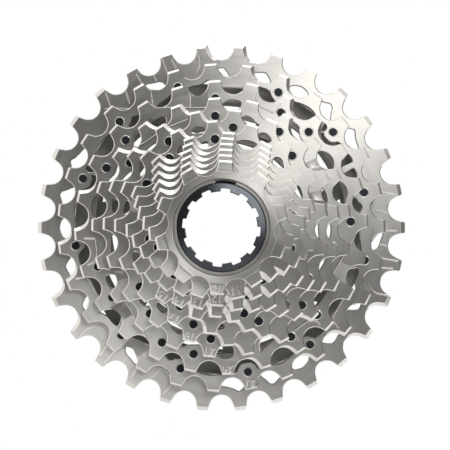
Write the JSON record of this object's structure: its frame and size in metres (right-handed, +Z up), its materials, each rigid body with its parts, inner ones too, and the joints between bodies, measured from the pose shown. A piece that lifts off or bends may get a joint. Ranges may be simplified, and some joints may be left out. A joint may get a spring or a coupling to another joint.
{
  "type": "bicycle cassette",
  "caption": "Road bicycle cassette: flat toothed steel sprockets of rising size riveted in a cone on a splined carrier, with a notched black lock tube.",
  "frame": {"origin": "on the axle line, at the rear face of the carrier's hub, where the cassette meets the driver body's shoulder", "axes": "+Y along the axle towards the wheel, so the smallest sprocket faces -Y; +Z up; the lock tube turns about Y"},
  "size_m": [0.1246, 0.0459, 0.1242],
  "materials": {
    "sprocket_steel": "satin nickel plated, brushed",
    "sleeve_steel": "satin turned",
    "spring_steel": "bright",
    "rivet_steel": "black oxide",
    "lock_tube_alloy": "black anodised, satin",
    "carrier_alloy": "dark grey anodised, blasted matte"
  },
  "bodies": {
    "cassette": {"sprocket_10t": "sprocket_steel", "sprocket_11t": "sprocket_steel", "sprocket_12t": "sprocket_steel", "sprocket_13t": "sprocket_steel", "sprocket_14t": "sprocket_steel", "sprocket_15t": "sprocket_steel", "sprocket_17t": "sprocket_steel", "sprocket_19t": "sprocket_steel", "sprocket_21t": "sprocket_steel", "sprocket_24t": "sprocket_steel", "sprocket_27t": "sprocket_steel", "sprocket_30t": "sprocket_steel", "hub_sleeve": "sleeve_steel", "snap_ring": "spring_steel", "carrier": "carrier_alloy", "carrier_hub": "carrier_alloy", "rivet_13t_01": "rivet_steel", "rivet_13t_02": "rivet_steel", "rivet_13t_03": "rivet_steel", "rivet_14t_01": "rivet_steel", "rivet_14t_02": "rivet_steel", "rivet_14t_03": "rivet_steel", "rivet_15t_01": "rivet_steel", "rivet_15t_02": "rivet_steel", "rivet_17t_01": "rivet_steel", "rivet_17t_02": "rivet_steel", "rivet_17t_03": "rivet_steel", "rivet_19t_01": "rivet_steel", "rivet_19t_02": "rivet_steel", "rivet_19t_03": "rivet_steel", "rivet_19t_04": "rivet_steel", "rivet_21t_01": "rivet_steel", "rivet_21t_02": "rivet_steel", "rivet_21t_03": "rivet_steel", "rivet_21t_04": "rivet_steel", "rivet_24t_01": "rivet_steel", "rivet_24t_02": "rivet_steel", "rivet_24t_03": "rivet_steel", "rivet_24t_04": "rivet_steel", "rivet_24t_05": "rivet_steel", "rivet_24t_06": "rivet_steel", "rivet_24t_07": "rivet_steel", "rivet_24t_08": "rivet_steel", "rivet_24t_09": "rivet_steel", "rivet_24t_10": "rivet_steel", "rivet_24t_11": "rivet_steel", "rivet_24t_12": "rivet_steel", "rivet_27t_01": "rivet_steel", "rivet_27t_02": "rivet_steel", "rivet_27t_03": "rivet_steel", "rivet_27t_04": "rivet_steel", "rivet_27t_05": "rivet_steel", "rivet_27t_06": "rivet_steel", "rivet_27t_07": "rivet_steel", "rivet_27t_08": "rivet_steel", "rivet_27t_09": "rivet_steel", "rivet_27t_10": "rivet_steel", "rivet_27t_11": "rivet_steel", "rivet_27t_12": "rivet_steel"},
    "lock_tube": {"lock_tube": "lock_tube_alloy"}
  },
  "joints": [
    {"name": "lock_tube_turn", "type": "hinge", "parent": "cassette", "child": "lock_tube", "pos_m": [0, -0.03, 0], "axis": [0, 1, 0], "continuous": true}
  ]
}
